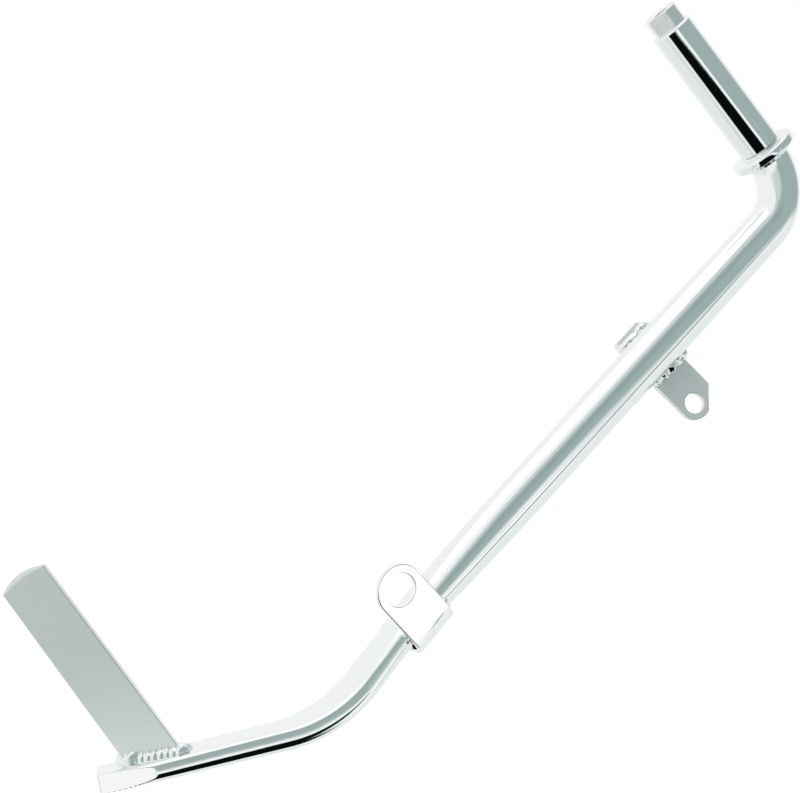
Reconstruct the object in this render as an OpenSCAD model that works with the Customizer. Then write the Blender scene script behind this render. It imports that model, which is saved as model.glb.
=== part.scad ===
// Kickstand leg: a bent round bar with a pivot shaft, thrust collar, cross plate, bumper bracket and kick lever
// Frame: X-Z is the plane of the pivot shaft and the bar, +Z is up with the foot flat on level ground,
// -Y is the side that the bracket's ear and the toe facet face, and the origin is on the pivot axis
// at the collar's thrust face. Headings are angles in the X-Z plane, from +X towards +Z.

/* [Pivot shaft] */
// Diameter of the bearing length of the shaft
shaft_d = 16; // [12:0.5:20]
// Length from the thrust face to the shoulder of the tang
shaft_l = 56.2; // [40:0.2:80]
// Lean of the pivot axis from vertical, in degrees
pivot_lean = 31; // [20:1:40]
// Diameter of the turned spigot that carries the tang flats
tang_d = 13; // [10:0.5:14]
// Length of the tang beyond the shoulder
tang_l = 7.1; // [4:0.1:12]
// Distance across the two milled flats
tang_flats = 10.6; // [8:0.2:12]
// Turn of the flats about the pivot axis, in degrees
tang_turn = -51; // [-90:1:90]
// Diameter of the tapped hole for the retaining bolt
tap_d = 6.6; // [5:0.1:8]
// Depth of the tapped hole
tap_l = 18; // [12:1:30]

// Diameter of the spigot that fits the collar
spigot_d = 12; // [8:0.5:14]

/* [Thrust collar] */
// Outside diameter of the collar
collar_d = 25; // [20:0.5:32]
// Thickness of the collar
collar_t = 3.5; // [2:0.5:6]
// Rounding of the collar's rim
collar_round = 1; // [0.4:0.1:1.4]

/* [Leg bar] */
// Diameter of the round bar
bar_d = 15.9; // [12:0.1:19]
// Radius of the elbow, to the centre of the bar
elbow_r = 20; // [16:0.5:30]
// Slope of the long straight below horizontal, in degrees
leg_drop = 33.5; // [25:0.5:40]
// Length from the elbow's corner to the set in the bar under the bracket
leg_l = 213.5; // [150:0.5:260]
// Slope of the bar below the bracket, in degrees
shin_drop = 39.5; // [30:0.5:50]
// Length from the set to the foot's corner
shin_l = 48.6; // [40:0.2:80]
// Radius of the foot bend, to the centre of the bar
foot_r = 50; // [35:1:80]
// Length from the foot's corner to the toe
foot_l = 78; // [60:0.2:110]
// Thickness of the flattened bar
flat_t = 8; // [6:0.2:12]
// Width of the flattened bar
flat_w = 19; // [16:0.5:26]

/* [Cross plate] */
// Distance of the spring hole down the long straight
hole_at = 84.5; // [60:0.5:120]
// Distance of the spring hole from the bar's axis
hole_out = 25.2; // [18:0.1:35]
// Diameter of the spring hole
hole_d = 7.4; // [5:0.1:10]
// Thickness of the plate
plate_t = 3; // [2:0.5:6]
// Distance of the stop edge from the bar's axis
stop_out = 10.8; // [9:0.1:16]
// Turn of the plate about the bar, in degrees
plate_turn = 10; // [-30:1:40]

/* [Bumper bracket] */
// Width of the strap, along the bar
strap_w = 17.8; // [12:0.1:30]
// Thickness of the strap
strap_t = 2.2; // [1.5:0.1:4]
// Diameter of the bumper hole
bumper_d = 11.4; // [8:0.1:14]
// Distance of the bumper hole from the bar's axis
bumper_out = 17.6; // [14:0.1:24]
// Turn of the strap about the bar, in degrees
strap_turn = -14; // [-40:1:10]

/* [Kick lever] */
// Length of the lever, from the foot to its tip
lever_l = 73.2; // [40:0.1:90]
// Width at the foot
lever_w = 17; // [12:0.5:24]
// Width at the tip
lever_tip_w = 16.5; // [12:0.5:24]
// Thickness of the lever
lever_t = 5; // [3:0.5:8]
// Heading of the lever, in degrees
lever_heading = 114; // [90:1:135]
// Lean of the lever out of the plane of the bar, in degrees
lever_lean = 12; // [0:1:30]
// Twist of the lever about its own length, in degrees
lever_twist = 18; // [0:1:30]

/* [Hidden] */
$fn = 96;

shaft_heading = 90 + pivot_lean;
leg_heading = 180 + leg_drop;
shin_heading = 180 + shin_drop;
foot_heading = 180;
elbow_turn = shaft_heading + 180 - leg_heading;
foot_turn = shin_heading - foot_heading;
corner = -(collar_t + elbow_r * tan(elbow_turn / 2)) * heading(shaft_heading);
set_point = corner + leg_l * heading(leg_heading);
foot_corner = set_point + shin_l * heading(shin_heading);
foot_cut = foot_r * tan(foot_turn / 2);         // from the foot's corner to each end of its bend
toe = foot_corner + foot_l * heading(foot_heading);
foot_top = foot_corner[2] + flat_t / 2;

squeeze_from = 160;                             // where the round bar starts to flatten
squeeze_mid_t = 9.2;                            // thickness and width at the set
squeeze_mid_w = 18.4;
squeeze_end = 14;                               // past the set, where the flattening is complete
set_lap = 0.5;                                  // how far the two lengths run into each other at the set

facet_l = 17.5;                                 // toe facet: its length, depth from the edge's axis and slopes
facet_reach = 3.4;
facet_fall = 3;
facet_wedge = 1.5;
cutter = 30;                                    // size of the blocks that only cut

plate_up = 9.5;                                 // spring hole to the plate's upper edge
plate_down = 6.2;                               // spring hole to the plate's lower edge, and its end radius
plate_slant = 21;                               // how far the round end runs on before the slanting edge, in degrees
plate_clip = 3.5;                               // clipped corner at the stop edge
strap_in = 9.5;                                 // bar's axis to the inner face of the strap, front and rear
strap_side = 5.9;                               // bar's axis to the inner face of the strap's side
strap_bend = 5;                                 // inside radius of the strap's corners
strap_tail = -1.5;                              // end of the rear flange, from the bar's axis
strap_at = 3.1;                                 // centre of the strap, past the set
strap_drop = (leg_heading + shin_heading) / 2;

lever_foot = 17.1;                              // base of the lever, from the toe
lever_base_turn = -21.4;                        // direction of the lever's lower edge on the foot
lever_base_l = 18.2;
lever_arc_r = 16;                               // end radius of the lever's tip
lever_bevel = 2;                                // width of the bevel across the tip
lever_bevel_drop = 1.2;
bead = 1.8;                                     // radius of an ordinary weld bead

function heading(a) = [cos(a), 0, sin(a)];

// Children's +Z runs along a heading; their +X is on the inner side of both bends
module along(a) { rotate([0, 90 - a, 0]) children(); }
module on_pivot() { along(shaft_heading) children(); }
module on_leg() { translate(corner) along(leg_heading) children(); }
module on_strap() {
    translate(set_point + strap_at * heading(shin_heading))
        along(strap_drop) rotate([0, 0, strap_turn]) children();
}
module on_lever_base() {
    translate(toe + [lever_foot, 0, flat_t / 2]) rotate([0, 0, lever_base_turn]) children();
}

// Round bar pressed flat: t thick along X and w wide along Y
module flat_bar_outline(t, w) {
    intersection() {
        circle(d = w);
        square([t, 2 * w], center = true);
    }
}

// Bend towards +X that starts at the origin, heading along +Z
module bend(r, a) {
    translate([r, 0, 0]) mirror([1, 0, 0]) rotate([90, 0, 0])
        rotate_extrude(angle = a) translate([r, 0]) children();
}

// Capsule between two points
module capsule(p, q, r) {
    d = q - p;
    l = norm(d);
    translate(p) rotate([0, acos(d[2] / l), atan2(d[1], d[0])]) {
        cylinder(h = l, r = r);
        sphere(r = r);
        translate([0, 0, l]) sphere(r = r);
    }
}

module leg_straights() {
    on_leg() translate([0, 0, elbow_r * tan(elbow_turn / 2)]) {
        mirror([0, 0, 1]) bend(elbow_r, elbow_turn) circle(d = bar_d);
        cylinder(h = squeeze_from - elbow_r * tan(elbow_turn / 2), d = bar_d);
    }
}

// Round bar that widens from w1 to w2 while two sloping faces thin it from t1 to t2, over the length l
module pressed(w1, t1, w2, t2, l) {
    over_l = 0.1;                               // the sloping faces run on past both ends
    over = over_l * (t1 - t2) / 2;
    intersection() {
        cylinder(h = l, d1 = w1, d2 = w2);
        rotate([90, 0, 0]) linear_extrude(2 * cutter, center = true)
            polygon([[-t1 / 2 - over, -l * over_l], [t1 / 2 + over, -l * over_l],
                     [t2 / 2 - over, l + l * over_l], [over - t2 / 2, l + l * over_l]]);
    }
}

module leg_squeeze() {
    on_leg() translate([0, 0, squeeze_from])
        pressed(bar_d, bar_d + 0.5, squeeze_mid_w, squeeze_mid_t, leg_l + set_lap - squeeze_from);
    translate(set_point) along(shin_heading)
        pressed(squeeze_mid_w, squeeze_mid_t, flat_w, flat_t, squeeze_end);
}

module leg_flats() {
    translate(set_point + squeeze_end * heading(shin_heading)) along(shin_heading)
        linear_extrude(shin_l - squeeze_end - foot_cut) flat_bar_outline(flat_t, flat_w);
    translate(foot_corner - foot_cut * heading(shin_heading)) along(shin_heading)
        bend(foot_r, foot_turn) flat_bar_outline(flat_t, flat_w);
    translate(foot_corner + foot_cut * heading(foot_heading)) along(foot_heading)
        linear_extrude(foot_l - foot_cut) flat_bar_outline(flat_t, flat_w);
}

module leg_bar() color("silver") {
    leg_straights();
    leg_squeeze();
    difference() {
        leg_flats();
        translate(toe - [0, (flat_w - flat_t) / 2, 0]) rotate([facet_fall, 0, 0])
            rotate([0, 0, -facet_wedge])
                translate([-1, -facet_reach - cutter, -cutter / 2]) cube([facet_l + 1, cutter, cutter]);
    }
}

module pivot_shaft() color("gainsboro") on_pivot() difference() {
    union() {
        translate([0, 0, -collar_t]) cylinder(h = collar_t + 1, d = spigot_d);
        cylinder(h = shaft_l - 0.6, d = shaft_d);
        translate([0, 0, shaft_l - 0.6]) cylinder(h = 0.6, d1 = shaft_d, d2 = shaft_d - 1.2);
        intersection() {
            translate([0, 0, shaft_l]) cylinder(h = tang_l, d = tang_d);
            rotate([0, 0, tang_turn]) translate([-cutter / 2, -tang_flats / 2, shaft_l])
                cube([cutter, tang_flats, tang_l]);
        }
    }
    translate([0, 0, shaft_l + tang_l - tap_l]) cylinder(h = tap_l + 1, d = tap_d);
}

module thrust_collar() color("whitesmoke") on_pivot() translate([0, 0, -collar_t]) difference() {
    rotate_extrude() {
        translate([0, collar_round]) square([collar_d / 2, collar_t - 2 * collar_round]);
        square([collar_d / 2 - collar_round, collar_t]);
        for (z = [collar_round, collar_t - collar_round])
            translate([collar_d / 2 - collar_round, z]) circle(r = collar_round);
    }
    translate([0, 0, -1]) cylinder(h = collar_t + 2, d = spigot_d);
}

module plate_outline() {
    turns = 18;
    arc = [for (i = [0:turns]) let (a = 180 + plate_slant - i * (90 + plate_slant) / turns)
           [-hole_out + plate_down * cos(a), plate_down * sin(a)]];
    polygon(concat([[stop_out - plate_clip, -plate_up], [-hole_out + 1.1, -plate_up]], arc,
                   [[stop_out - 1, plate_down], [stop_out, plate_down - 1], [stop_out, plate_clip - plate_up]]));
}

module cross_plate() color("lightgray") on_leg() rotate([0, 0, plate_turn])
    translate([0, bar_d / 2 + plate_t, hole_at]) rotate([90, 0, 0]) difference() {
        linear_extrude(plate_t) plate_outline();
        translate([-hole_out, 0, -1]) cylinder(h = plate_t + 2, d = hole_d);
    }

// Quarter of the strap's round corner, centred on its bend axis
module strap_corner() {
    intersection() {
        difference() {
            circle(r = strap_bend + strap_t);
            circle(r = strap_bend);
        }
        translate([-cutter, -cutter]) square(cutter);
    }
}

module bumper_bracket() color("white") on_strap() {
    bend_x = strap_bend - strap_side;
    bend_y = strap_in - strap_bend;
    difference() {
        translate([0, -strap_in, 0]) rotate([90, 0, 0]) linear_extrude(strap_t) {
            translate([bend_x, -strap_w / 2]) square([bumper_out - bend_x, strap_w]);
            translate([bumper_out, 0]) circle(d = strap_w);
        }
        translate([bumper_out, 1 - strap_in, 0]) rotate([90, 0, 0]) cylinder(h = strap_t + 2, d = bumper_d);
    }
    translate([0, 0, -strap_w / 2]) linear_extrude(strap_w) {
        translate([bend_x, -bend_y]) strap_corner();
        translate([-strap_side - strap_t, -bend_y]) square([strap_t, 2 * bend_y]);
        translate([bend_x, bend_y]) mirror([0, 1]) strap_corner();
        translate([bend_x, strap_in]) square([strap_tail - bend_x, strap_t]);
    }
}

module lever_outline() {
    arc_rise = lever_arc_r - sqrt(pow(lever_arc_r, 2) - pow(lever_tip_w / 2, 2));
    intersection() {
        polygon([[-lever_w / 2 - 0.15, -14], [lever_w / 2 + 0.15, -14],
                 [lever_tip_w / 2, lever_l], [-lever_tip_w / 2, lever_l]]);
        union() {
            translate([-cutter / 2, -14]) square([cutter, lever_l + 14 - arc_rise]);
            translate([0, lever_l - lever_arc_r]) circle(r = lever_arc_r);
        }
    }
}

module kick_lever() color("silver") difference() {
    translate(toe + [lever_foot, 0, flat_t / 2]) along(lever_heading) rotate([-lever_lean, 0, 0])
        rotate([0, 0, -lever_twist]) difference() {
            translate([0, lever_t / 2, 0]) rotate([90, 0, 0]) linear_extrude(lever_t) lever_outline();
            translate([0, -lever_t / 2, lever_l - lever_bevel])
                rotate([-atan(lever_bevel_drop / lever_bevel), 0, 0])
                    translate([-cutter / 2, -cutter, 0]) cube([cutter, cutter, cutter]);
        }
    translate([toe[0] - cutter, -cutter, foot_top - cutter]) cube([3 * cutter, 2 * cutter, cutter]);
}

module collar_weld() color("gainsboro") on_pivot() rotate_extrude() intersection() {
    translate([bar_d / 2, -collar_t]) circle(r = bead);
    translate([bar_d / 2, -collar_t - cutter]) square(cutter);
}

// Bead in the corner between the bar and the front of the cross plate, on the side s of the bar
module plate_bead(s, from, to) {
    difference() {
        on_leg() rotate([0, 0, plate_turn])
            capsule([s * (bar_d / 2 - 0.2), bar_d / 2 - 1.6, hole_at + from],
                    [s * (bar_d / 2 - 0.2), bar_d / 2 - 1.6, hole_at + to], bead + 0.6);
        on_leg() translate([0, 0, hole_at - cutter]) cylinder(h = 2 * cutter, d = bar_d);
        on_leg() rotate([0, 0, plate_turn])
            translate([-cutter, bar_d / 2, hole_at - cutter]) cube(2 * cutter);
    }
}
module spring_weld_upper() color("gainsboro") plate_bead(-1, -plate_up + 1, -plate_up / 2 + 1);
module spring_weld_lower() color("gainsboro") plate_bead(-1, -plate_up / 2 + 3.2, plate_down - 0.5);
module stop_weld() color("gainsboro") plate_bead(1, -plate_up + 3, plate_down + 1.5);

module strap_bead(p, q, r) {
    difference() {
        on_strap() capsule(p, q, r);
        leg_squeeze();
        bumper_bracket();
    }
}
module bracket_weld_upper() color("gainsboro")
    strap_bead([-strap_side + 0.4, -4.6, -strap_w / 2 - 0.4], [-0.6, -strap_in + 0.8, -strap_w / 2 - 0.4], 1.5);
module bracket_weld_lower() color("gainsboro")
    strap_bead([-strap_side + 1.6, -4, strap_w / 2 + 0.3], [1, -strap_in + 1, strap_w / 2 + 0.3], 1.6);
module bracket_weld_rear() color("gainsboro")
    strap_bead([strap_tail + 0.4, strap_in - 0.3, 2 - strap_w / 2],
               [strap_tail + 0.4, strap_in - 0.3, strap_w / 2 - 2], bead);

// Bead in the corner between the lever and the top of the foot
module lever_bead(p, q, r) {
    difference() {
        on_lever_base() capsule(p, q, r);
        translate([toe[0] - 1, -cutter, foot_top - cutter]) cube([2 * cutter, 2 * cutter, cutter]);
        kick_lever();
    }
}
module lever_weld_front() color("gainsboro")
    lever_bead([5 - lever_base_l / 2, -3.4, 0.4], [lever_base_l / 2 - 2, -3.4, 0.4], bead);
module lever_weld_rear() color("gainsboro")
    lever_bead([1 - lever_base_l / 2, 3.4, 0.4], [lever_base_l / 2 - 1, 3.4, 0.4], bead);
module lever_weld_heel() color("gainsboro")
    lever_bead([-lever_base_l / 2 - 0.6, 1.2, 0.6], [2 - lever_base_l / 2, -2.6, 0.6], bead + 0.6);
module lever_weld_toe() color("gainsboro")
    lever_bead([lever_base_l / 2 + 0.2, 1.4, 0.5], [lever_base_l / 2 + 0.2, -2.4, 0.5], bead + 0.2);

leg_bar();
pivot_shaft();
thrust_collar();
cross_plate();
bumper_bracket();
kick_lever();
collar_weld();
spring_weld_upper();
spring_weld_lower();
stop_weld();
bracket_weld_upper();
bracket_weld_lower();
bracket_weld_rear();
lever_weld_front();
lever_weld_rear();
lever_weld_heel();
lever_weld_toe();
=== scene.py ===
"""Looks of the kickstand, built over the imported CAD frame. Lengths are in millimetres up to each mesh."""
from math import acos, cos, degrees, pi, radians, sin, sqrt, tan

import bmesh
import bpy
from mathutils import Matrix, Vector, noise
from mathutils.geometry import tessellate_polygon


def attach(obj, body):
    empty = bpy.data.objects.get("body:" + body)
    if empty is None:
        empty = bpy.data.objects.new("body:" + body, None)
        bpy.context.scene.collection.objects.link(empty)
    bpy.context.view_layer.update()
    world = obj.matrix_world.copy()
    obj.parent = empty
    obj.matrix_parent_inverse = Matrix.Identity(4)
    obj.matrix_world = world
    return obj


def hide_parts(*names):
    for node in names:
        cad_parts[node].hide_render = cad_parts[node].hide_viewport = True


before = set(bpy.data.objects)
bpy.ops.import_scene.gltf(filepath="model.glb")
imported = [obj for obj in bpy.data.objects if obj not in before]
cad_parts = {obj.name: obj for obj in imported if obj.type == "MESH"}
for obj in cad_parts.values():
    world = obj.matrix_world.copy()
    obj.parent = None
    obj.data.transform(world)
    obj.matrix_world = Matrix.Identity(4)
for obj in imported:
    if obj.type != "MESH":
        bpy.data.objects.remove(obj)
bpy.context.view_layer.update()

MM = 0.001
scene = bpy.context.scene

# ---- design values, the same as in part.scad: headings are in the X-Z plane, from +X towards +Z, in degrees
SHAFT_HEADING = 121.0
LEG_HEADING = 213.5
SHIN_HEADING = 219.5
FOOT_HEADING = 180.0
SHAFT_D = 16.0
SHAFT_L = 56.2
SPIGOT_D = 12.0
TANG_D = 13.0
TANG_L = 7.1
TANG_FLATS = 10.6
TANG_TURN = -51.0
TAP_D = 6.6
TAP_L = 18.0
COLLAR_D = 25.0
COLLAR_T = 3.5
COLLAR_ROUND = 1.0
BAR_D = 15.9
ELBOW_R = 20.0
LEG_L = 213.5
SHIN_L = 48.6
FOOT_R = 50.0
FOOT_L = 78.0
FLAT_T = 8.0
HOLE_AT = 84.5
HOLE_OUT = 25.2
HOLE_D = 7.4
PLATE_T = 3.0
PLATE_TURN = 10.0
PLATE_SLANT = 21.0
PLATE_UP = 9.5
PLATE_DOWN = 6.2
STOP_OUT = 10.8
STRAP_W = 17.8
STRAP_T = 2.2
STRAP_TURN = -14.0
STRAP_IN = 9.5
STRAP_SIDE = 5.9
STRAP_BEND = 5.0
STRAP_TAIL = -1.5
STRAP_AT = 3.1
BUMPER_D = 11.4
BUMPER_OUT = 17.6
LEVER_L = 73.2
LEVER_W = 17.0
LEVER_TIP_W = 16.5
LEVER_T = 5.0
LEVER_HEADING = 114.0
LEVER_LEAN = 12.0
LEVER_TWIST = 18.0
LEVER_FOOT = 17.1
LEVER_ARC_R = 16.0
LEVER_BASE_TURN = -21.4
LEVER_BASE_L = 18.2


def heading(a):
    return Vector((cos(radians(a)), 0, sin(radians(a))))


def place(p, a, turn=0.0):
    """Frame at p with its +Z along heading a, turned about itself."""
    return (Matrix.Translation(p) @ Matrix.Rotation(radians(90 - a), 4, "Y")
            @ Matrix.Rotation(radians(turn), 4, "Z"))


def turned(angle, axis):
    return Matrix.Rotation(radians(angle), 4, axis)


ELBOW_TURN = SHAFT_HEADING + 180 - LEG_HEADING
ELBOW_TANGENT = ELBOW_R * tan(radians(ELBOW_TURN / 2))
CORNER = -(COLLAR_T + ELBOW_TANGENT) * heading(SHAFT_HEADING)
SET_POINT = CORNER + LEG_L * heading(LEG_HEADING)
FOOT_CORNER = SET_POINT + SHIN_L * heading(SHIN_HEADING)
FOOT_CUT = FOOT_R * tan(radians((SHIN_HEADING - FOOT_HEADING) / 2))
FOOT_TOP = FOOT_CORNER.z + FLAT_T / 2
TOE = FOOT_CORNER + FOOT_L * heading(FOOT_HEADING)
LEVER_AT = TOE + Vector((LEVER_FOOT, 0, FLAT_T / 2))

PIVOT = place(Vector((0, 0, 0)), SHAFT_HEADING)
PLATE_SIDE = place(CORNER, LEG_HEADING) @ turned(PLATE_TURN, "Z")
PLATE = PLATE_SIDE @ Matrix.Translation((0, BAR_D / 2 + PLATE_T, HOLE_AT)) @ turned(90, "X")
STRAP = place(SET_POINT + STRAP_AT * heading(SHIN_HEADING), (LEG_HEADING + SHIN_HEADING) / 2, STRAP_TURN)
LEVER = place(LEVER_AT, LEVER_HEADING) @ turned(-LEVER_LEAN, "X") @ turned(-LEVER_TWIST, "Z")
LEVER_BASE = Matrix.Translation(LEVER_AT) @ turned(LEVER_BASE_TURN, "Z")


# ---- mesh helpers
def sharpen(me, angle):
    """Split the shading at edges over an angle, and keep the flat faces flat."""
    smooth = [p.use_smooth for p in me.polygons]
    me.set_sharp_from_angle(angle=radians(angle))
    me.polygons.foreach_set("use_smooth", smooth)


def add(name, verts, faces, where=Matrix.Identity(4), flat=(), sharp=None):
    """A mesh object from millimetre points; the faces numbered in flat are shaded flat."""
    me = bpy.data.meshes.new(name)
    me.from_pydata([(where @ Vector(v)) * MM for v in verts], [], faces)
    bm = bmesh.new()
    bm.from_mesh(me)
    bm.faces.ensure_lookup_table()
    flat = set(flat)
    for f in bm.faces:
        f.smooth = f.index not in flat
    bmesh.ops.remove_doubles(bm, verts=bm.verts, dist=2e-7)
    bmesh.ops.recalc_face_normals(bm, faces=bm.faces)
    bm.to_mesh(me)
    bm.free()
    if sharp:
        sharpen(me, sharp)
    obj = bpy.data.objects.new(name, me)
    scene.collection.objects.link(obj)
    return obj


def grow(verts, points):
    """Add points to verts, and give their numbers."""
    verts += points
    return list(range(len(verts) - len(points), len(verts)))


def bridge(faces, a, b, closed=True):
    """Faces between two rings of the same length."""
    n = len(a)
    for i in range(n if closed else n - 1):
        j = (i + 1) % n
        face = list(dict.fromkeys((a[i], a[j], b[j], b[i])))
        if len(face) > 2:
            faces.append(face)


def bridge_all(faces, rings, closed=True):
    for a, b in zip(rings, rings[1:]):
        bridge(faces, a, b, closed)


def cap(verts, faces, flat, rings):
    """Flat face over the first ring, with the other rings as its holes."""
    index = [i for ring in rings for i in ring]
    for tri in tessellate_polygon([[Vector(verts[i]) for i in ring] for ring in rings]):
        flat.append(len(faces))
        faces.append(tuple(index[i] for i in tri))


def arc(cx, cy, r, a0, a1, n):
    return [(cx + r * cos(radians(a0 + (a1 - a0) * i / n)), cy + r * sin(radians(a0 + (a1 - a0) * i / n)))
            for i in range(n + 1)]


def circle(x, y, r, n=96):
    return [(x + r * cos(2 * pi * i / n), y + r * sin(2 * pi * i / n)) for i in range(n)]


def lathe(name, profile, closed=False, push=None, sharp=None, n=160):
    """Points (r, z) turned about the pivot axis. push(x, y, z) moves a point afterwards."""
    verts, rings, faces = [], [], []
    for r, z in profile:
        if r < 1e-6:
            rings.append(grow(verts, [(0, 0, z)]) * n)
        else:
            rings.append(grow(verts, [(x, y, z) for x, y in circle(0, 0, r, n)]))
    bridge_all(faces, rings + rings[:1] if closed else rings)
    if push:
        verts = [push(*v) for v in verts]
    return add(name, verts, faces, PIVOT, sharp=sharp)


def inset(points, d, ends=False):
    """A closed outline moved inwards by d, or an open one whose ends stay on their line."""
    n, out = len(points), []
    area = sum(a[0] * b[1] - b[0] * a[1] for a, b in zip(points, points[1:] + points[:1]))
    s = 1 if area > 0 else -1
    for i in range(n):
        p = Vector(points[i])
        before = Vector(points[i - 1]) if (i or not ends) else None
        after = Vector(points[(i + 1) % n]) if (i < n - 1 or not ends) else None
        normals = []
        for a, b in ((before, p), (p, after)):
            if a is not None and b is not None:
                e = (b - a).normalized()
                normals.append(Vector((-e.y, e.x)) * s)
        m = sum(normals, Vector((0, 0))).normalized()
        out.append(tuple(p + m * d / max(0.3, m.dot(normals[0]))))
    return out


def edge_steps(t, b, n=3):
    """Pairs (inset, height) up the side of a sheet of thickness t with its edges rounded by b."""
    low = [(b - b * sin(radians(90 * i / n)), b - b * cos(radians(90 * i / n))) for i in range(n + 1)]
    return low + [(i, t - h) for i, h in reversed(low)]


def slab(name, outline, holes, t, b, where):
    """Extruded outline with holes and rounded edges; the two flat sides are shaded flat."""
    verts, faces, flat, stacks = [], [], [], []
    for loop, side in [(outline, 1)] + [(hole, -1) for hole in holes]:
        stack = [grow(verts, [(x, y, h) for x, y in inset(loop, side * i)]) for i, h in edge_steps(t, b)]
        bridge_all(faces, stack)
        stacks.append(stack)
    for end in (0, -1):
        cap(verts, faces, flat, [stack[end] for stack in stacks])
    return add(name, verts, faces, where, flat=flat, sharp=50)


BEAD_SIDES = 40
BEAD_ROWS_PER_MM = 6
BEAD_RIPPLE = 0.085           # height of the ripples, as a part of the radius
BEAD_LEAN = 0.175             # half of how far a row's underside trails its crown, as a part of the radius
BEAD_SHIFT = 0.3
LUMP_SCALE, LUMP = 0.32, 1.3
GRIT_SCALE, GRIT = 0.9, 0.5


def bead(name, start, end, r, base, ripples, seed, rough, lift=(0, 0, 1)):
    """Lumpy weld bead with rippled rows, from start to end. Its crown faces lift."""
    start = Vector(start)
    axis = Vector(end) - start
    length = axis.length
    axis.normalize()
    u = Vector(lift) - Vector(lift).dot(axis) * axis
    u.normalize()
    w = axis.cross(u)
    rows = max(24, int(length * BEAD_ROWS_PER_MM))
    total = length + 2 * r
    verts, rings, faces = [], [], []
    for i in range(rows + 1):
        s = i / rows * total
        to_end = min(s, total - s)
        k = sqrt(max(0.0, 1 - (max(0.0, r - to_end) / r) ** 2))
        wave = 1 + BEAD_RIPPLE * cos(2 * pi * ripples * i / rows + seed)
        centre = start + axis * (s - r)
        ring = []
        for j in range(BEAD_SIDES):
            a = 2 * pi * j / BEAD_SIDES
            lean = BEAD_LEAN * r * (1 - cos(a))
            d = u * cos(a) + w * sin(a)
            v = centre + d * r * k * wave + axis * (BEAD_SHIFT - lean) * k
            bump = noise.noise(v * LUMP_SCALE + Vector((seed, 0, 3))) * rough * LUMP
            bump += noise.noise(v * GRIT_SCALE + Vector((0, seed, 0))) * rough * GRIT
            ring.append(tuple(v + d * bump * r * k))
        rings.append(grow(verts, ring))
    bridge_all(faces, rings)
    return add(name, verts, faces, base)


# ---- shaders
class Graph:
    """Small arithmetic helper for a node tree."""

    def __init__(self, tree):
        self.tree = tree
        tree.nodes.clear()

    def node(self, kind, **values):
        n = self.tree.nodes.new(kind)
        for k, v in values.items():
            setattr(n, k, v)
        return n

    def put(self, socket, value):
        if isinstance(value, bpy.types.NodeSocket):
            self.tree.links.new(value, socket)
        else:
            socket.default_value = value

    def math(self, op, a, b=0.0, c=0.0):
        n = self.node("ShaderNodeMath", operation=op)
        for s, v in zip(n.inputs, (a, b, c)):
            self.put(s, v)
        return n.outputs[0]

    def step(self, x, lo, hi):
        """0 below lo, 1 above hi, smooth between."""
        n = self.node("ShaderNodeMapRange", interpolation_type="SMOOTHSTEP")
        for k, v in (("Value", x), ("From Min", lo), ("From Max", hi), ("To Min", 0.0), ("To Max", 1.0)):
            self.put(n.inputs[k], v)
        return n.outputs[0]

    def down(self, x, lo, hi):
        """1 below lo, 0 above hi, smooth between."""
        return self.math("SUBTRACT", 1.0, self.step(x, lo, hi))

    def near(self, x, centre, inner, outer):
        """1 within inner of centre, 0 beyond outer, smooth between."""
        return self.down(self.math("ABSOLUTE", self.math("SUBTRACT", x, centre)), inner, outer)

    def both(self, *terms):
        out = terms[0]
        for t in terms[1:]:
            out = self.math("MULTIPLY", out, t)
        return out

    def toward(self, value, target, mask):
        """value moved to target where mask is 1."""
        return self.math("MULTIPLY_ADD", self.math("SUBTRACT", target, value), mask, value)

    def vary(self, value, field, amount):
        """value moved by amount times a noise field that is 0.5 on average."""
        return self.math("MULTIPLY_ADD", self.math("SUBTRACT", field, 0.5), amount, value)

    def noise(self, vector, scale, detail, rough, stretch=None):
        if stretch:
            m = self.node("ShaderNodeMapping")
            self.put(m.inputs["Vector"], vector)
            m.inputs["Scale"].default_value = stretch
            vector = m.outputs[0]
        n = self.node("ShaderNodeTexNoise")
        self.put(n.inputs["Vector"], vector)
        n.inputs["Scale"].default_value = scale
        n.inputs["Detail"].default_value = detail
        n.inputs["Roughness"].default_value = rough
        return n.outputs["Fac"]


# scales of the noise on the metals, per metre
CLOUDS = 90.0
WAVES = 160.0
PATCHES = 420.0
RIPPLES = 520.0
FINE = 900.0
PITS = 1300.0
SMOOTHEST = 0.015             # least roughness
PATCH_TONE = 0.62             # brightness of the darker patches


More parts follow.
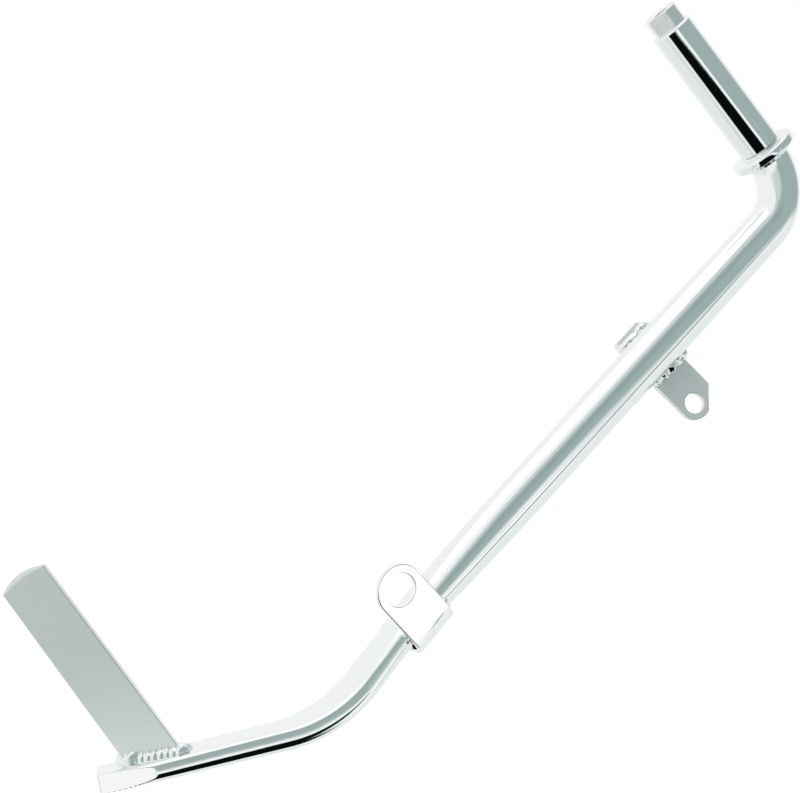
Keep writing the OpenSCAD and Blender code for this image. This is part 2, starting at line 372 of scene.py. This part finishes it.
def metal(name, colour, rough, rough_var, bump, metallic=1.0, grain=None, grain_bump=0.0, pits=0.0,
          ripple=0.0, dark=0.0, fade=None):
    """Procedural metal: fine waviness, uneven polish, optional grain, pits and darker patches.

    fade is (bright height, dark height, amount), heights in metres: the metal darkens from one to the other.
    """
    mat = bpy.data.materials.new(name)
    mat.use_nodes = True
    g = Graph(mat.node_tree)
    out = g.node("ShaderNodeOutputMaterial")
    bsdf = g.node("ShaderNodeBsdfPrincipled")
    g.tree.links.new(bsdf.outputs[0], out.inputs["Surface"])
    where = g.node("ShaderNodeTexCoord").outputs["Object"]
    bsdf.inputs["Metallic"].default_value = metallic
    fine = g.noise(where, FINE, 3.0, 0.6)
    r = g.vary(rough, g.noise(where, CLOUDS, 3.0, 0.6), rough_var * 2)
    r = g.vary(r, fine, rough_var)
    if grain:
        lines = g.noise(where, 1.0, 4.0, 0.7, stretch=grain)
        r = g.vary(r, lines, rough_var * 2.5)
    g.put(bsdf.inputs["Roughness"], g.math("MAXIMUM", r, SMOOTHEST))
    shade = g.node("ShaderNodeMix", data_type="RGBA")
    shade.inputs["A"].default_value = (*colour, 1)
    shade.inputs["B"].default_value = (*[c * PATCH_TONE for c in colour], 1)
    patches = g.step(g.noise(where, PATCHES, 4.0, 0.65), 0.56, 0.75)
    factor = g.math("MULTIPLY", patches, dark)
    if fade:
        axes = g.node("ShaderNodeSeparateXYZ")
        g.put(axes.inputs[0], where)
        factor = g.math("MULTIPLY_ADD", g.step(axes.outputs[2], fade[0], fade[1]), fade[2], factor)
    g.put(shade.inputs["Factor"], factor)
    g.put(bsdf.inputs["Base Color"], shade.outputs["Result"])
    height = g.math("MULTIPLY", g.noise(where, WAVES, 2.0, 0.5), bump)
    height = g.math("MULTIPLY_ADD", fine, bump * 0.12, height)
    if grain:
        height = g.math("MULTIPLY_ADD", lines, grain_bump, height)
    if pits:
        hollow = g.down(g.noise(where, PITS, 2.0, 0.5), 0.24, 0.34)
        height = g.math("MULTIPLY_ADD", hollow, -pits, height)
    if ripple:
        height = g.math("MULTIPLY_ADD", g.noise(where, RIPPLES, 3.0, 0.6), ripple, height)
    relief = g.node("ShaderNodeBump")
    relief.inputs["Strength"].default_value = 1.0
    relief.inputs["Distance"].default_value = MM
    g.put(relief.inputs["Height"], height)
    g.tree.links.new(relief.outputs[0], bsdf.inputs["Normal"])
    return mat


NEUTRAL = (0.92, 0.925, 0.925)
DULL = (0.88, 0.90, 0.895)
chrome = metal("chromed bar", NEUTRAL, rough=0.035, rough_var=0.018, bump=0.012)
chrome_foot = metal("chromed foot", NEUTRAL, rough=0.055, rough_var=0.03, bump=0.02)
chrome_ear = metal("chromed strap", (0.95, 0.95, 0.95), rough=0.10, rough_var=0.03, bump=0.006)
satin = metal("satin plate", (0.95, 0.955, 0.95), rough=0.46, rough_var=0.05, bump=0.02, metallic=0.5,
              grain=(160, 1800, 160), grain_bump=0.01)
satin_lever = metal("satin lever", (0.96, 0.965, 0.96), rough=0.36, rough_var=0.05, bump=0.03,
                    grain=(1500, 1500, 110), grain_bump=0.012, pits=0.012, dark=0.1,
                    fade=(-0.165, -0.125, 0.45))
milled = metal("milled tang", DULL, rough=0.22, rough_var=0.08, bump=0.01, grain=(2600, 2600, 260),
               grain_bump=0.05)
plated = metal("plated weld", DULL, rough=0.14, rough_var=0.06, bump=0.05, ripple=0.035, pits=0.02, dark=0.2)


def finish_piece(obj, node, mat):
    obj.data.materials.append(mat)
    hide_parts(node)
    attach(obj, "root")
    return obj


# ---- bar: one round length, elbowed, set, pressed flat and bent level
SET_R = 80.0                  # radius of the set under the bracket
CUT_TURN = 12.5               # skew of the cut at the toe, in degrees
CUT_MORE = 2.3                # extra length at the toe, since the skew makes its front longer
CUT_REACH = 22.0              # length behind the toe over which the skew fades out
TOE_ROUND = 0.6               # rounding of the edge at the end
TOE_FINE = 24.0               # length behind the toe that has close stations
TAPER = 1.6                   # loss of depth on the underside at the toe
TAPER_L = 70.0
FACET_L = 17.5                # length of the flat on the front of the toe
FACET_START = 0.7             # length of its run-in
FACET_STEP = 0.12
FACET_DEPTH = 2.9
FACET_SLOPE = 0.03            # how much further out the flat stands for each mm up
FOOT_X = -0.205               # metres; beyond it the chrome is a little softer

ROUND = BAR_D / 2
SECTIONS = (  # distance down the leg, half heights above and below, half width, their exponents, shift
    (-60, ROUND, ROUND, ROUND, 2.0, 2.0, 0.0),
    (19, ROUND, ROUND, ROUND, 2.0, 2.0, 0.0),
    (40, 8.03, 8.03, 8.03, 2.0, 2.0, 0.0),
    (62, 8.12, 8.12, 8.12, 2.0, 2.0, 0.0),
    (112, 8.08, 8.08, 8.08, 2.0, 2.0, 0.0),
    (150, 8.0, 8.0, 8.0, 2.0, 2.0, 0.0),
    (162, ROUND, ROUND, ROUND, 2.0, 2.0, 0.0),
    (171, 7.9, 7.9, 8.0, 2.0, 2.0, 0.0),
    (180, 7.7, 7.7, 8.2, 2.0, 2.0, 0.0),
    (190, 7.45, 7.5, 8.5, 2.02, 2.0, 0.0),
    (200, 7.0, 7.1, 8.8, 2.06, 2.03, 0.0),
    (213.5, 6.1, 6.4, 9.3, 2.15, 2.1, 0.05),
    (224, 5.1, 5.8, 9.8, 2.35, 2.2, 0.25),
    (235, 4.2, 5.4, 10.4, 3.0, 2.5, 0.55),
    (247, 3.65, 5.2, 10.9, 4.1, 2.9, 0.78),
    (257, 3.55, 5.15, 11.0, 4.5, 3.0, 0.8),
    (400, 3.55, 5.15, 11.0, 4.5, 3.0, 0.8))

# lengths along the bar's own path, from the collar
ELBOW_ARC = radians(ELBOW_TURN) * ELBOW_R
LEG_START = ELBOW_ARC - ELBOW_TANGENT        # the leg is measured from the elbow's corner
SET_S = LEG_START + LEG_L
SET_ARC = radians(SHIN_HEADING - LEG_HEADING) * SET_R
FOOT_S = SET_S + SHIN_L - FOOT_CUT
FOOT_ARC = radians(SHIN_HEADING - FOOT_HEADING) * FOOT_R
TOE_S = FOOT_S + FOOT_ARC + FOOT_L - FOOT_CUT + CUT_MORE
ARCS = ((0.0, ELBOW_ARC, -ELBOW_TURN), (SET_S - SET_ARC / 2, SET_ARC, SHIN_HEADING - LEG_HEADING),
        (FOOT_S, FOOT_ARC, FOOT_HEADING - SHIN_HEADING))


def section_at(down):
    for a, b in zip(SECTIONS, SECTIONS[1:]):
        if down <= b[0]:
            t = (down - a[0]) / (b[0] - a[0])
            return [x + (y - x) * t for x, y in zip(a[1:], b[1:])]
    return list(SECTIONS[-1][1:])


def turn_at(s):
    """Heading of the bar at a path length s from the collar."""
    a = SHAFT_HEADING + 180
    for start, length, change in ARCS:
        a += change * min(1.0, max(0.0, (s - start) / length))
    return a


def bar_stations():
    """Path lengths of the bar's rings: close in the elbow and at the toe, wide on the long straight."""
    out, s = [], 0.0
    while s < TOE_S - TOE_FINE:
        out.append(s)
        s += 0.75 if s < 34 else (2.0 if s < SET_S - 60 else 1.0)
    s = TOE_S - TOE_FINE
    while s < TOE_S - TOE_ROUND:
        out.append(s)
        s += 0.3
    return out + [TOE_S - back for back in (TOE_ROUND, 0.4, 0.2, 0.07, 0.0)]


def facet_depth(back):
    """Depth of the flat on the front of the toe, at a distance back from its end."""
    start = min(1.0, (FACET_L - back) / FACET_START)
    return (FACET_STEP + FACET_DEPTH * (FACET_L - back) / FACET_L) * (start * start * (3 - 2 * start))


def signed_power(x, p):
    return abs(x) ** p * (1 if x > 0 else -1)


def bar_ring(s, where, n=128):
    """Points round the bar at path length s."""
    top, bottom, wide, e_top, e_bottom, shift = section_at(s - LEG_START)
    back = TOE_S - s
    past = max(0.0, TOE_ROUND - back)
    trim = TOE_ROUND - sqrt(max(0.0, TOE_ROUND ** 2 - past ** 2))
    top, bottom, wide = top - trim, bottom - trim, wide - trim
    bottom -= TAPER * max(0.0, 1 - back / TAPER_L) ** 1.3
    skew = tan(radians(CUT_TURN)) * max(0.0, 1 - back / CUT_REACH)
    ring = []
    for i in range(n):
        t = 2 * pi * (i + 0.5) / n
        upper = sin(t) > 0
        y = wide * signed_power(cos(t), 2 / (e_top if upper else e_bottom))
        x = shift + (top if upper else bottom) * signed_power(sin(t), 2 / (e_top if upper else e_bottom))
        if back <= FACET_L:
            y = max(y, facet_depth(back) - wide - FACET_SLOPE * (x - shift))
        v = where @ Vector((x, y, 0))
        v.x += v.y * skew
        ring.append(v)
    return ring


def build_bar():
    verts, rings, faces = [], [], []
    p = -COLLAR_T * heading(SHAFT_HEADING)
    last = 0.0
    for s in bar_stations():
        while last < s - 1e-9:
            d = min(0.1, s - last)
            p = p + heading(turn_at(last + d / 2)) * d
            last += d
        rings.append(grow(verts, bar_ring(s, place(p, turn_at(s)))))
    bridge_all(faces, rings)
    faces += [rings[0], rings[-1]]
    return add("bar", verts, faces, flat=(len(faces) - 2, len(faces) - 1), sharp=32)


bar = finish_piece(build_bar(), "leg_bar", chrome)
bar.data.materials.append(chrome_foot)
for poly in bar.data.polygons:
    if poly.center.x < FOOT_X:
        poly.material_index = 1


# ---- pivot shaft and collar
SPIGOT_L = 2.5
THREAD_PITCH = 0.5
MILLED_RING = 3.0             # width of the milled look round the tapped hole


def shaft_profile():
    """Radii and heights from the spigot in the collar, up over the tang and down into the tapped hole."""
    r, spigot, neck = SHAFT_D / 2, SPIGOT_D / 2, SHAFT_D / 2 - 0.45
    tang, tap, top = TANG_D / 2, TAP_D / 2, SHAFT_L + TANG_L
    pts = [(0.0, -SPIGOT_L), (spigot, -SPIGOT_L), (spigot, -0.2), (neck, -0.2), (neck, 0.5)]
    pts += [(r - 0.3, 0.75), (r, 1.0)]
    pts += [(r, 1.0 + (SHAFT_L - 1.6) * i / 24) for i in range(1, 25)]
    pts += [(r, SHAFT_L - 0.5), (r - 0.12, SHAFT_L - 0.25), (r - 0.4, SHAFT_L - 0.03), (r - 0.6, SHAFT_L)]
    pts += [(tang + 0.25, SHAFT_L), (tang + 0.02, SHAFT_L + 0.2)]
    pts += [(tang, SHAFT_L + 0.25 + (TANG_L - 0.75) * i / 12) for i in range(1, 13)]
    pts += [(tang - 0.15, top - 0.15), (tang - 0.5, top)]
    pts += [(tap + 0.75, top), (tap + 0.2, top - 0.55)]
    for i in range(int((TAP_L - 1) / THREAD_PITCH)):
        z = top - 0.8 - i * THREAD_PITCH
        pts += [(tap + 0.28, z), (tap - 0.2, z - THREAD_PITCH / 2)]
    return pts + [(tap - 0.2, top - TAP_L), (0.0, top - TAP_L - 1.8)]


def mill_tang(x, y, z):
    """Push points of the tang that lie beyond its two flats onto them."""
    if z <= SHAFT_L + 0.01 or sqrt(x * x + y * y) < TANG_FLATS / 2 - 0.05:
        return (x, y, z)
    a = radians(TANG_TURN)
    v = -x * sin(a) + y * cos(a)
    flat = TANG_FLATS / 2 - (0.25 if z > SHAFT_L + TANG_L - 0.1 else 0.0)
    if abs(v) <= flat:
        return (x, y, z)
    u = x * cos(a) + y * sin(a)
    v = flat if v > 0 else -flat
    return (u * cos(a) - v * sin(a), u * sin(a) + v * cos(a), z)


def is_milled(p):
    """Whether a point in the pivot's frame is on a flat or on the end of the tang, near the tapped hole."""
    a = radians(TANG_TURN)
    from_middle = abs(-p.x * sin(a) + p.y * cos(a))
    near_hole = p.xy.length < TAP_D / 2 + MILLED_RING
    return p.z > SHAFT_L + 0.05 and (from_middle > TANG_FLATS / 2 - 0.4 or near_hole)


shaft = lathe("shaft", shaft_profile(), push=mill_tang, sharp=28)
finish_piece(shaft, "pivot_shaft", chrome)
shaft.data.materials.append(milled)
to_pivot = PIVOT.inverted()
for poly in shaft.data.polygons:
    if is_milled(to_pivot @ (poly.center / MM)):
        poly.material_index = 1


def collar_profile():
    bore, groove, rim = SPIGOT_D / 2 + 0.2, 0.35, COLLAR_D / 2 - COLLAR_ROUND
    pts = [(bore, -groove), (7.4, -groove), (7.7, 0.0), (rim, 0.0)]
    pts += arc(rim, -COLLAR_ROUND, COLLAR_ROUND, 90, 0, 8)
    pts += arc(rim, COLLAR_ROUND - COLLAR_T, COLLAR_ROUND, 0, -90, 8)
    return pts + [(bore, -COLLAR_T)]


collar = lathe("collar", collar_profile(), closed=True, sharp=40)
finish_piece(collar, "thrust_collar", chrome)


# ---- cross plate
STOP_CUT = 3.5                # length of the corner cut off the stop, along each edge
PLATE_EDGE = 0.35


def plate_outline():
    pts = [(STOP_OUT - STOP_CUT, -PLATE_UP), (1.1 - HOLE_OUT, -PLATE_UP)]
    pts += arc(-HOLE_OUT, 0, PLATE_DOWN, 180 + PLATE_SLANT, 90, 28)
    return pts + [(STOP_OUT - 1, PLATE_DOWN), (STOP_OUT, PLATE_DOWN - 1), (STOP_OUT, STOP_CUT - PLATE_UP)]


spring_hole = circle(-HOLE_OUT, 0, HOLE_D / 2)
plate = slab("plate", plate_outline(), [spring_hole], PLATE_T, PLATE_EDGE, PLATE)
finish_piece(plate, "cross_plate", satin)


# ---- bumper bracket: the ear and its wrap round the bar, one sheet
STRAP_EDGE = 0.4
BUMPER_EDGE = 0.3
TAIL_EDGE = 0.3
BEND_STEPS = 16


def quarter_bend(x, y, r, start):
    """Outer side of a clockwise quarter bend, with its outward directions."""
    out = []
    for k in range(BEND_STEPS + 1):
        a = radians(start - 90 * k / BEND_STEPS)
        out.append((x + r * cos(a), y + r * sin(a), cos(a), sin(a)))
    return out


def build_bracket():
    half = STRAP_W / 2
    bend_x, bend_y = STRAP_BEND - STRAP_SIDE, STRAP_IN - STRAP_BEND
    face_y, back_y = -STRAP_IN - STRAP_T, STRAP_IN + STRAP_T
    verts, faces, flat = [], [], []

    # the ear, whose outline stays open along the bend
    steps = edge_steps(STRAP_T, STRAP_EDGE)
    ear = [(bend_x, -half)] + arc(BUMPER_OUT, 0, half, -90, 90, 45) + [(bend_x, half)]
    sides = [grow(verts, [(x, face_y + h, z) for x, z in inset(ear, i, ends=True)]) for i, h in steps]
    bridge_all(faces, sides, closed=False)
    hole = circle(BUMPER_OUT, 0, BUMPER_D / 2)
    bore = [grow(verts, [(x, face_y + h, z) for x, z in inset(hole, -i)])
            for i, h in edge_steps(STRAP_T, BUMPER_EDGE)]
    bridge_all(faces, bore)
    for end in (0, -1):
        cap(verts, faces, flat, [sides[end], bore[end]])

    # the section across the sheet, carried round the bar
    section = [(i - half, h) for i, h in steps] + [(half - i, h) for i, h in reversed(steps)]
    path = quarter_bend(bend_x, -bend_y, STRAP_BEND + STRAP_T, -90)
    path += quarter_bend(bend_x, bend_y, STRAP_BEND + STRAP_T, 180)
    path.append((STRAP_TAIL - TAIL_EDGE, back_y, 0.0, 1.0))
    rows = [grow(verts, [(x - nx * h, y - ny * h, z) for z, h in section]) for x, y, nx, ny in path]
    straights = (BEND_STEPS, 2 * BEND_STEPS + 1)
    for r, (a, b) in enumerate(zip(rows, rows[1:])):
        first = len(faces)
        bridge(faces, a, b)
        if r in straights:
            flat += [first + i for i, (_, h) in enumerate(section)
                     if abs(h - section[(i + 1) % len(section)][1]) < 1e-6]
    shrink = 1 - TAIL_EDGE / half
    heights = [min(STRAP_T - TAIL_EDGE, max(TAIL_EDGE, STRAP_T - h)) for _, h in section]
    tip = grow(verts, [(STRAP_TAIL, STRAP_IN + up, z * shrink) for (z, _), up in zip(section, heights)])
    bridge(faces, rows[-1], tip)
    flat.append(len(faces))
    faces.append(tip)
    return add("bracket", verts, faces, STRAP, flat=flat, sharp=50)


finish_piece(build_bracket(), "bumper_bracket", chrome_ear)


# ---- lever
LEVER_EDGE = 0.45
LEVER_BEVEL = 1.5             # chamfer across the tip, at its middle
LEVER_BEVEL_DROP = 0.15
LEVER_RUNOUT = 14             # length under the foot's top, which the cut below takes off
LEVER_SPREAD = 0.15
CUT_BELOW = 0.4               # depth of the cut under the foot's top


def lever_outline():
    half, tip = LEVER_W / 2 + LEVER_SPREAD, LEVER_TIP_W / 2
    centre = LEVER_L - LEVER_ARC_R
    shoulder = centre + sqrt(LEVER_ARC_R ** 2 - tip ** 2) - 0.35
    first = degrees(acos(tip / LEVER_ARC_R)) + 0.7
    pts = [(-half, -LEVER_RUNOUT), (half, -LEVER_RUNOUT), (tip, shoulder)]
    return pts + arc(0, centre, LEVER_ARC_R, first, 180 - first, 20) + [(-tip, shoulder)]


def bevel_tip(obj, where):
    """Draw the tip's front edge back into a chamfer, wide in the middle."""
    to_lever = where.inverted()
    for v in obj.data.vertices:
        p = to_lever @ (v.co / MM)
        across = 1 - (2 * p.x / LEVER_TIP_W) ** 2
        if p.z > LEVER_T - LEVER_EDGE - 0.01 and p.y > LEVER_L - 6 and across > 0:
            up = (p.z - (LEVER_T - LEVER_EDGE)) / LEVER_EDGE
            w = across ** 0.7
            p.y -= LEVER_BEVEL * w * up
            p.z -= LEVER_BEVEL_DROP * w * (1 - up)
            v.co = (where @ p) * MM


def cut_level(me, z):
    """Take off what is below height z, and close the cut."""
    bm = bmesh.new()
    bm.from_mesh(me)
    r = bmesh.ops.bisect_plane(bm, geom=bm.verts[:] + bm.edges[:] + bm.faces[:], dist=1e-7,
                               plane_co=Vector((0, 0, z)) * MM, plane_no=(0, 0, -1), clear_outer=True)
    edges = [e for e in r["geom_cut"] if isinstance(e, bmesh.types.BMEdge)]
    for f in bmesh.ops.holes_fill(bm, edges=edges)["faces"]:
        f.smooth = False
    bm.to_mesh(me)
    bm.free()


def build_lever():
    where = LEVER @ Matrix.Translation((0, LEVER_T / 2, 0)) @ turned(90, "X")
    obj = slab("lever", lever_outline(), [], LEVER_T, LEVER_EDGE, where)
    bevel_tip(obj, where)
    cut_level(obj.data, FOOT_TOP - CUT_BELOW)
    sharpen(obj.data, 22)
    return obj


finish_piece(build_lever(), "kick_lever", satin_lever)


# ---- welds
COLLAR_BEAD_W = 1.75
COLLAR_BEAD_H = 1.55
COLLAR_RIPPLES = 26


def build_collar_weld(n=220, m=20):
    """Ring of weld under the collar, n rows round it and m points round each row."""
    verts, rings, faces = [], [], []
    for i in range(n):
        a = 2 * pi * i / n
        wave = 1 + 0.05 * cos(COLLAR_RIPPLES * a) + 0.10 * noise.noise(Vector((3 * cos(a), 3 * sin(a), 7)))
        ring = []
        for j in range(m):
            t = 2 * pi * j / m
            r = BAR_D / 2 + 0.1 + COLLAR_BEAD_W * wave * cos(t)
            z = -COLLAR_T - 0.05 + COLLAR_BEAD_H * wave * sin(t)
            k = noise.noise(Vector((r * cos(a), r * sin(a), z)) * 0.6) * 0.12
            ring.append(((r + k) * cos(a), (r + k) * sin(a), z + k))
        rings.append(grow(verts, ring))
    bridge_all(faces, rings + rings[:1])
    return add("weld_collar", verts, faces, PIVOT)


finish_piece(build_collar_weld(), "collar_weld", plated)

PLATE_BEADS = PLATE_SIDE @ Matrix.Translation((0, BAR_D / 2 - 1.2, HOLE_AT))
side = BAR_D / 2 - 0.2        # the plate's beads lie along the bar's side
h = STRAP_W / 2               # the bracket's along the strap's two edges
q = LEVER_BASE_L / 2          # the lever's round its foot
BEADS = {
    "spring_weld_upper": dict(
        base=PLATE_BEADS, start=(-side - 0.9, 0.5, -PLATE_UP + 0.6),
        end=(-side - 0.9, 0.5, -PLATE_UP / 2 - 0.4), r=3.1, ripples=2, seed=1.3, rough=0.2, lift=(1, -1, 0)),
    "spring_weld_lower": dict(
        base=PLATE_BEADS, start=(-side - 0.8, 0.5, -PLATE_UP / 2 + 3.0),
        end=(-side - 0.4, 0.3, PLATE_DOWN - 1.6), r=3.1, ripples=3, seed=2.9, rough=0.2, lift=(1, -1, 0)),
    "stop_weld": dict(
        base=PLATE_BEADS, start=(side, 0, -PLATE_UP + 4), end=(side, 0, PLATE_DOWN - 0.6),
        r=1.9, ripples=5, seed=4.1, rough=0.25, lift=(1, 1, 0)),
    "bracket_weld_upper": dict(
        base=STRAP, start=(-STRAP_SIDE + 0.4, -4.6, -h - 0.4), end=(-0.6, -STRAP_IN + 0.8, -h - 0.4),
        r=1.6, ripples=4, seed=0.4, rough=0.3),
    "bracket_weld_lower": dict(
        base=STRAP, start=(-STRAP_SIDE + 1.6, -4, h + 0.3), end=(1, -STRAP_IN + 1, h + 0.3),
        r=1.7, ripples=4, seed=5.2, rough=0.3),
    "bracket_weld_rear": dict(
        base=STRAP, start=(STRAP_TAIL + 0.4, STRAP_IN - 0.3, 2 - h),
        end=(STRAP_TAIL + 0.4, STRAP_IN - 0.3, h - 2), r=1.8, ripples=8, seed=2.2, rough=0.2, lift=(1, 0, 0)),
    "lever_weld_front": dict(
        base=LEVER_BASE, start=(4 - q, -3.2, 0.1), end=(q - 0.5, -3.2, 0.1),
        r=2.4, ripples=9, seed=0.9, rough=0.12),
    "lever_weld_rear": dict(
        base=LEVER_BASE, start=(1 - q, 3.3, 0.3), end=(q - 1, 3.3, 0.3),
        r=1.9, ripples=8, seed=3.4, rough=0.22),
    "lever_weld_heel": dict(
        base=LEVER_BASE, start=(-q - 0.8, 1.2, 0.5), end=(2.4 - q, -3.0, 0.6),
        r=2.8, ripples=2, seed=6.0, rough=0.34),
    "lever_weld_toe": dict(
        base=LEVER_BASE, start=(q + 0.4, 1.4, 0.3), end=(q + 0.6, -2.4, 0.2),
        r=2.4, ripples=2, seed=7.7, rough=0.3),
}
for node, shape in BEADS.items():
    finish_piece(bead("weld_" + node.replace("_weld", ""), **shape), node, plated)


# ---- studio: the metal sees a striped surround, the camera sees white
BLACK = 0.004


def surround(g):
    """Brightness by direction: az is 0 towards -Y and grows towards +X, el is the elevation, in degrees."""
    d = g.node("ShaderNodeSeparateXYZ")
    g.put(d.inputs[0], g.node("ShaderNodeTexCoord").outputs["Generated"])
    x, y, z = d.outputs
    el = g.math("DEGREES", g.math("ARCSINE", g.math("MAXIMUM", g.math("MINIMUM", z, 0.99999), -0.99999)))
    az = g.math("DEGREES", g.math("ARCTAN2", x, g.math("MULTIPLY", y, -1.0)))

    # pale all round, a little darker low down at the sides
    v = g.toward(0.95, 0.88, g.both(g.down(el, -22, -8), g.step(az, 55, 75)))
    v = g.toward(v, 0.86, g.both(g.down(el, -30, -12), g.down(az, -75, -55)))

    # the front: a gray room from the camera's side to the right, under a slanting brim
    brim = g.math("MULTIPLY_ADD", g.math("MINIMUM", az, 0.0), -0.8, el)
    tone = g.toward(0.45, 0.62, g.both(g.down(az, -6, 6), g.step(el, 30, 48)))
    tone = g.toward(tone, 0.68, g.both(g.down(az, -24, -8), g.down(el, 22, 34)))
    tone = g.toward(tone, 0.40, g.both(g.near(az, 9, 2, 14), g.near(el, 27, 4, 16)))
    tone = g.toward(tone, 0.72, g.step(brim, 38, 54))
    tone = g.toward(tone, 0.52, g.step(brim, 55.5, 58))
    room = g.both(g.step(az, -75, -40), g.down(az, 82, 106), g.step(el, -18, -8), g.down(brim, 58.5, 61.5))
    v = g.toward(v, tone, room)

    # a lit gap low on the right, with a gray line beside it
    slant = g.math("MULTIPLY_ADD", az, 0.83, el)
    gap = g.both(g.step(az, 19, 31), g.down(az, 44, 52), g.down(slant, 14, 24), g.step(el, -24, -18))
    v = g.toward(v, 0.84, gap)
    line = g.both(g.step(az, 46, 49.5), g.down(az, 54, 57.5), g.step(el, -40, -32), g.down(el, -20, -8))
    v = g.toward(v, 0.48, line)

    # black below a slanting edge in front, with a white line over it, and black on the ground
    edge = g.math("MULTIPLY_ADD", g.math("MINIMUM", g.math("ADD", az, 9.0), 0.0), 0.33, -17.0)
    above = g.math("SUBTRACT", el, edge)
    white = g.both(g.down(above, 4, 6.5), g.step(az, -16, -10), g.down(az, 30, 38), g.step(above, -4, -1))
    v = g.toward(v, 1.0, white)
    v = g.toward(v, BLACK, g.both(g.down(above, -2, 1), g.step(az, -63, -58), g.down(az, 27, 33)))
    v = g.toward(v, BLACK, g.both(g.down(el, -48, -43), g.step(az, -70, -55), g.down(az, 35, 50)))
    v = g.toward(v, BLACK, g.both(g.down(el, -55, -51), g.step(az, -70, -55), g.down(az, 62, 72)))

    # a thin gray line on the left, light from overhead, and the card that the bracket's ear faces
    v = g.toward(v, 0.7, g.both(g.step(az, -88, -84), g.down(az, -81, -77), g.down(el, -30, -20)))
    v = g.toward(v, 1.2, g.step(el, 60, 70))
    return g.toward(v, 1.15, g.both(g.near(az, 41, 4, 7), g.near(el, -27, 3.5, 6)))


def tint(g, v, share):
    """v times a factor that falls to share in the dark."""
    return g.math("MULTIPLY", v, g.math("MULTIPLY_ADD", g.math("MINIMUM", v, 1.0), 1 - share, share))


def build_world():
    world = bpy.data.worlds.new("studio")
    scene.world = world
    world.use_nodes = True
    g = Graph(world.node_tree)
    v = surround(g)
    colour = g.node("ShaderNodeCombineXYZ")
    for socket, value in zip(colour.inputs, (tint(g, v, 0.61), v, tint(g, v, 0.96))):
        g.put(socket, value)
    seen = g.node("ShaderNodeBackground")
    seen.inputs["Color"].default_value = (1, 1, 1, 1)
    lit = g.node("ShaderNodeBackground")
    g.put(lit.inputs["Color"], colour.outputs[0])
    mix = g.node("ShaderNodeMixShader")
    g.put(mix.inputs[0], g.node("ShaderNodeLightPath").outputs["Is Camera Ray"])
    g.tree.links.new(lit.outputs[0], mix.inputs[1])
    g.tree.links.new(seen.outputs[0], mix.inputs[2])
    g.tree.links.new(mix.outputs[0], g.node("ShaderNodeOutputWorld").inputs[0])


build_world()

FLOOR_HALF = 1500.0
FLOOR_BELOW = 4.6             # depth of the floor under the foot's centre line


def build_floor():
    size, z = FLOOR_HALF, FOOT_CORNER.z - FLOOR_BELOW
    corners = [(-size, -size, z), (size, -size, z), (size, size, z), (-size, size, z)]
    floor = add("floor", corners, [(0, 1, 2, 3)])
    mat = bpy.data.materials.new("white floor")
    mat.use_nodes = True
    g = Graph(mat.node_tree)
    bsdf = g.node("ShaderNodeBsdfPrincipled")
    bsdf.inputs["Base Color"].default_value = (0.8, 0.8, 0.8, 1)
    bsdf.inputs["Roughness"].default_value = 0.9
    bsdf.inputs["Emission Color"].default_value = (1, 1, 1, 1)
    bsdf.inputs["Emission Strength"].default_value = 1.0
    g.tree.links.new(bsdf.outputs[0], g.node("ShaderNodeOutputMaterial").inputs["Surface"])
    floor.data.materials.append(mat)
    floor.visible_glossy = False
    floor.visible_diffuse = False


build_floor()

# ---- camera
CAMERA_AT = Vector((-396.89, -602.26, -48.17))
CAMERA_TURN = (88.468, 10.2306, -21.8133)     # about X, Y and Z, in degrees

camera = bpy.data.objects.new("camera", bpy.data.cameras.new("camera"))
scene.collection.objects.link(camera)
camera.location = CAMERA_AT * MM
camera.rotation_euler = [radians(a) for a in CAMERA_TURN]
camera.data.lens = 85.5
camera.data.sensor_width = 36
camera.data.clip_start = 0.01
scene.camera = camera
scene.view_settings.view_transform = "Standard"
